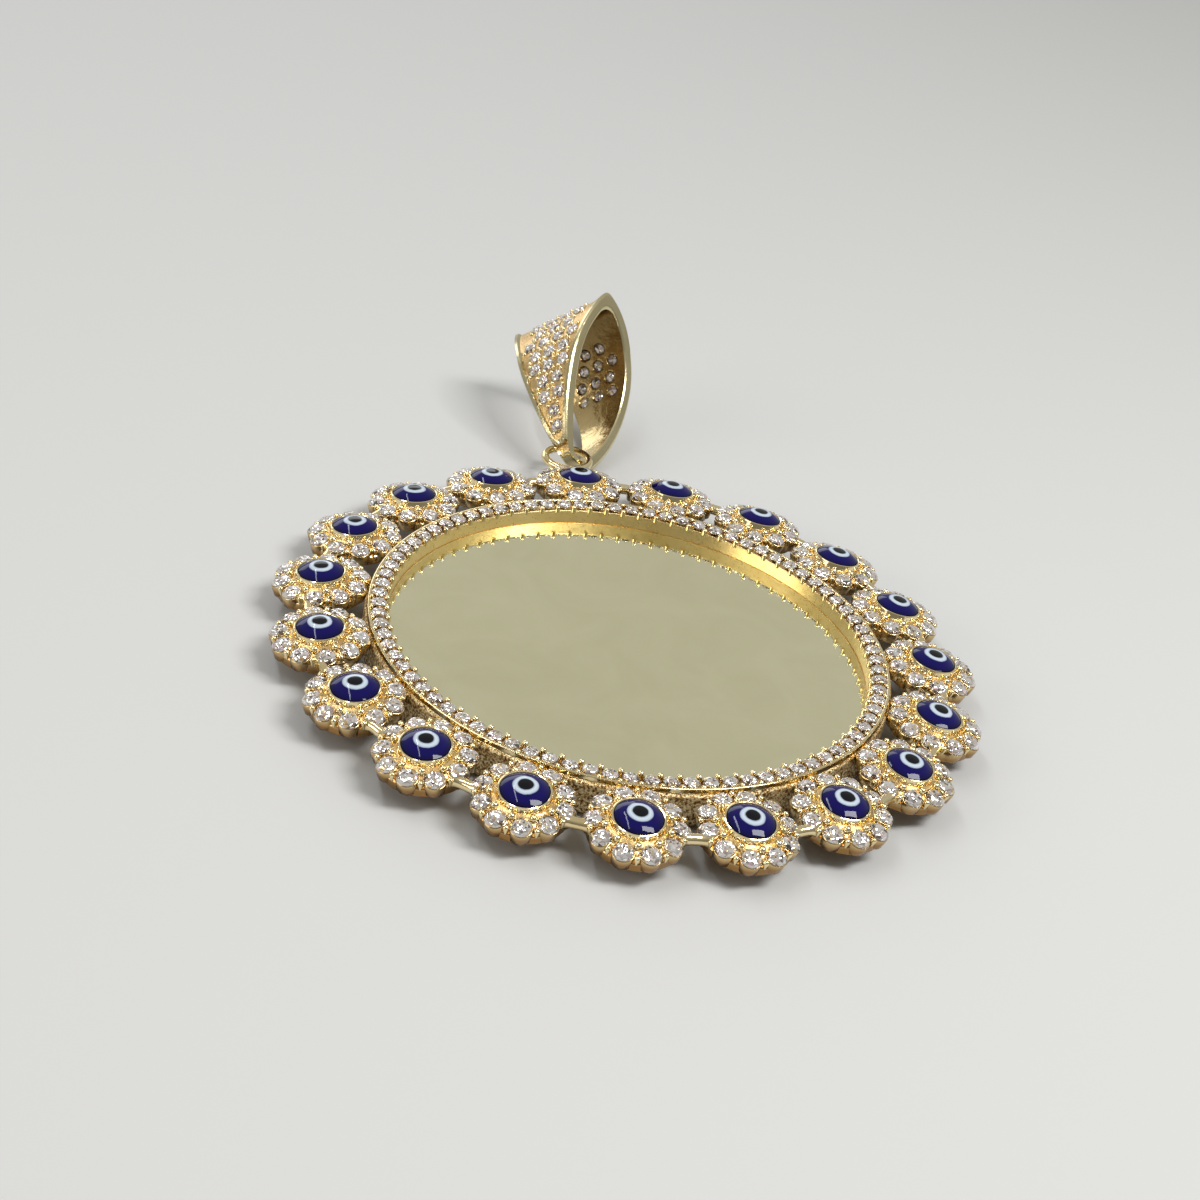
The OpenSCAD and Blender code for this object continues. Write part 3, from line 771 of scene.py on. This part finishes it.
# The sunk field of the back reaches three quarters of a row beyond its first and last stones
back_top = back_seats[0][1, 3] + BAIL_ROW * 0.75
back_last = back_seats[-1][1, 3] - BAIL_ROW * 0.75
foot_c = corner(BAIL_T, FOOT_IN_R, -1)
hang = math.radians(HANG_ANGLE)
hang_point = (EYELET_R * math.sin(hang), EYELET_Y + EYELET_R * math.cos(hang), EYELET_Z)
at_bail = (place(turn("x", BAIL_RISE), hang_point) @ turned("y", -BAIL_TURN)
           @ shifted(0, -foot_c[1] - HANG_SHIFT[1], -foot_c[0] - HANG_SHIFT[0]))


def bail_shell():
    """Hollow bail as one closed surface. Around the outline goes the first parameter; the second
    goes across the outside, over a rounded edge, across the inside and back. Outside, a point is
    outline - normal * sink, where sink is the field's depth inside the rims and the step below the
    tongue; inside, the light holes are pits in the wall. Returns the shape, the height along the
    bail as a share of its length, and the material number of every face."""
    counts = [26, 110, 84, 14, 96, 110]
    across_out, across_in, across_edge = 61, 71, 7
    edge_out, edge_in, soft_edge = 0.1, 0.06, 0.04
    outer, n_out = leaf_path(0, FOOT_OUT_R, TOP_OUT_R, counts)
    inner, n_in = leaf_path(BAIL_T, FOOT_IN_R, TOP_IN_R, counts)
    outer_z, outer_y = outer[:, :1], outer[:, 1:]
    inner_z, inner_y = inner[:, :1], inner[:, 1:]
    ho, hi = half_width(outer_y), half_width(inner_y)

    v = np.linspace(-1, 1, across_out)
    x = (ho - edge_out) * v
    y = outer_y + 0 * v
    tongue = np.where(y > TONGUE_Y, half_width(y) - np.abs(x),
                      tongue_r - np.hypot(x, y - TONGUE_Y))
    field = BAIL_SINK * smooth(tongue, BAIL_RIM - soft_edge, BAIL_RIM + soft_edge)
    step_down = (TONGUE_STEP * smooth(-tongue, 0, 0.06) * (y < TONGUE_Y)
                 * smooth(y, foot_c[1] - 1.2, foot_c[1] - 0.6))
    inside_back = np.minimum(ho - np.abs(x) - BAIL_RIM,
                             0.8 * np.minimum(y - back_last, back_top - y))
    back_field = BAIL_SINK * smooth(inside_back, -soft_edge, soft_edge)
    sink = np.where(n_out[:, :1] > -0.15, field + step_down, back_field)
    base = outer[:, None, :] - n_out[:, None, :] * sink[..., None]
    outside = np.stack([x, base[..., 1], base[..., 0]], -1)

    w = np.linspace(1, -1, across_in)
    inside = np.stack([(hi - edge_in) * w, inner_y + 0 * w, inner_z + 0 * w], -1)
    seats = np.array([f[:3, 3] for f in bail_seats])
    axes = np.array([f[:3, 2] for f in bail_seats])
    to_seat = inside[:, :, None, :] - seats
    along = np.einsum("uvsk,sk->uvs", to_seat, axes)
    away = np.sqrt(np.maximum((to_seat ** 2).sum(-1) - along ** 2, 0))
    away = np.where(np.abs(along) < 1.5, away, 9.0).min(-1)
    pit = 0.16 * smooth(-away, -0.46, -0.4)
    inside[..., 1] += n_in[:, 1:] * pit
    inside[..., 2] += n_in[:, :1] * pit

    t = np.linspace(0, 1, across_edge + 2)[1:-1]
    soft = 1 - (1 - np.minimum(1, np.minimum(t, 1 - t) / 0.16)) ** 2
    side_y = outer_y * (1 - t) + inner_y * t
    side_z = outer_z * (1 - t) + inner_z * t
    half = (ho - edge_out) * (1 - t) + (hi - edge_in) * t + edge_out * soft
    right = np.stack([half, side_y, side_z], -1)
    left = np.stack([-half[:, ::-1], side_y[:, ::-1], side_z[:, ::-1]], -1)

    points = np.concatenate([outside, right, inside, left], 1)
    column = np.arange(points.shape[1])
    sunk = np.pad(sink > 0.6 * BAIL_SINK, ((0, 0), (0, points.shape[1] - across_out)))
    first = across_out + across_edge
    inner_face = (column >= first) & (column < first + across_in - 1)
    return (grid(points, True, True), (points[..., 1] / BAIL_L).ravel(),
            np.where(inner_face, 2, np.where(sunk, 1, 0)).ravel())


shell, lengthwise, shell_region = bail_shell()
bail = piece("bail_shell", copies(shell, [at_bail]), [gold_rim, gold_bed, gold_inside],
             body="bail", angle=40, values={"lengthwise": lengthwise},
             region=shell_region)
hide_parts("bail")
inner_face_z = BAIL_SINK - BAIL_T
stone_back = revolve([(0, inner_face_z - 0.05), (0.36, inner_face_z + 0.03),
                      (0.42, inner_face_z + 0.09), (0, inner_face_z + 0.16)], 10)
bail_stones = cut_stones("bail_cut_stones", BAIL_STONE, [
    at_bail @ f @ place(as_set(k, 17.0, 4), (0, 0, 0.02)) for k, f in enumerate(bail_seats)],
    "bail", backs=stone_back)
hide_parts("bail_stones")


def bail_bead_frames():
    """Frames of the four beads around every seat, at its corners, where they fit inside the
    rims."""
    out = []
    for f in bail_seats:
        for sx in (-1, 1):
            for sy in (-1, 1):
                g = f @ shifted(sx * BAIL_BEAD_X, sy * BAIL_BEAD_Y, BAIL_BEAD_Z)
                if abs(g[0, 3]) < half_width(g[1, 3]) - BAIL_RIM + 0.05:
                    out.append(g)
    return out


piece("bail_beads", copies(copies(bead(0.17, 0.27, 10), bail_bead_frames()), [at_bail]),
      [gold], body="bail", angle=60)

# ------------------------------------------------------------ mirror plate
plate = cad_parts["plate"]
plate.data.materials.clear()
plate.data.materials.append(mirror)

# ------------------------------------------------------------ floor, light and camera
# The floor, in metres, lies just below the flat back, so that the two never share a plane
FLOOR_HALF, FLOOR_Z = 2, -0.00002
floor = bpy.data.meshes.new("floor")
floor.from_pydata([(x * FLOOR_HALF, y * FLOOR_HALF, FLOOR_Z)
                   for x, y in ((-1, -1), (1, -1), (1, 1), (-1, 1))], [], [(0, 1, 2, 3)])
floor.materials.append(
    new_material("pale_matt_card", Base_Color=linear("BEBEBC"), Roughness=0.8)[0])
ground = bpy.data.objects.new("floor", floor)
bpy.context.scene.collection.objects.link(ground)


def studio_world():
    """Plain studio: a bright wall above and behind the piece, and a dimmer room on the other
    sides. Its light goes by the dot product of the direction and the one to the wall."""
    world = bpy.data.worlds.new("studio")
    world.use_nodes = True
    tree = world.node_tree
    at = add(tree, "ShaderNodeTexCoord")
    facing = add(tree, "ShaderNodeVectorMath", {"operation": "DOT_PRODUCT", 1: (0.15, 0.5, 0.85)},
                 {0: (at, "Generated")})
    share = add(tree, "ShaderNodeMapRange",
                {"From Min": -0.3, "From Max": 0.75, "interpolation_type": "SMOOTHSTEP"},
                {"Value": (facing, "Value")})
    wall = ramp(tree, share, "Result", [(0.0, "7E7D7A"), (1.0, "B8B7B3")])
    feed(tree, tree.nodes["Background"], {"Color": (wall, "Color")})
    bpy.context.scene.world = world


def softbox(name, position, along, size, power, colour):
    """Rectangular area light at a position in mm, aimed at the middle of the medallion, its long
    side along a direction."""
    data = bpy.data.lights.new(name, "AREA")
    data.shape, data.size, data.size_y = "RECTANGLE", size[0] * MM, size[1] * MM
    data.energy, data.color = power, linear(colour)[:3]
    obj = bpy.data.objects.new(name, data)
    z = np.array(position) / np.linalg.norm(position)
    x = np.array(along) - np.dot(along, z) * z
    x /= np.linalg.norm(x)
    rotation = np.stack([x, np.cross(z, x), z], -1)
    obj.matrix_world = Matrix(place(rotation, np.array(position) * MM).tolist())
    bpy.context.scene.collection.objects.link(obj)


studio_world()
# The window gives the patches on the eyes, and the door gap their thin streaks. A low window
# stands beyond the bail, and a fill light at the left.
softbox("window", (129.0, -90.0, 257.0), (0.89, 0.19, -0.42), (165, 75), 0.75, "FFFFFF")
softbox("door_gap", (-108.0, 55.0, 265.0), (0.0, 1.0, 0.0), (300, 14), 0.2, "F2F7FF")
softbox("window_low", (-60.0, 320.0, 96.0), (1.0, 0.0, 0.0), (260, 110), 0.16, "F6F9FF")
softbox("side_fill", (-280.0, -60.0, 120.0), (0.0, 1.0, 0.0), (200, 120), 0.25, "FFF8EE")

# Camera fitted to the photo: where it stands, measured from the height of the eye rims, and the
# directions to the right and up in its picture
CAMERA_AT, LENS = (-36.631, -120.350, 75.419), 69.494
CAMERA_RIGHT, CAMERA_UP = (0.97019, -0.17073, 0.17198), (-0.05626, 0.53162, 0.84512)
bpy.context.scene.view_settings.view_transform = "Standard"
camera = bpy.data.cameras.new("camera")
camera.sensor_width, camera.lens = 36.0, LENS
camera.clip_start, camera.clip_end = 0.01, 10.0
stand = bpy.data.objects.new("camera", camera)
camera_axes = np.stack([CAMERA_RIGHT, CAMERA_UP, np.cross(CAMERA_RIGHT, CAMERA_UP)], -1)
stand.matrix_world = Matrix(
    place(camera_axes, (np.array(CAMERA_AT) + (0, 0, FACE_Z)) * MM).tolist())
bpy.context.scene.collection.objects.link(stand)
bpy.context.scene.camera = stand
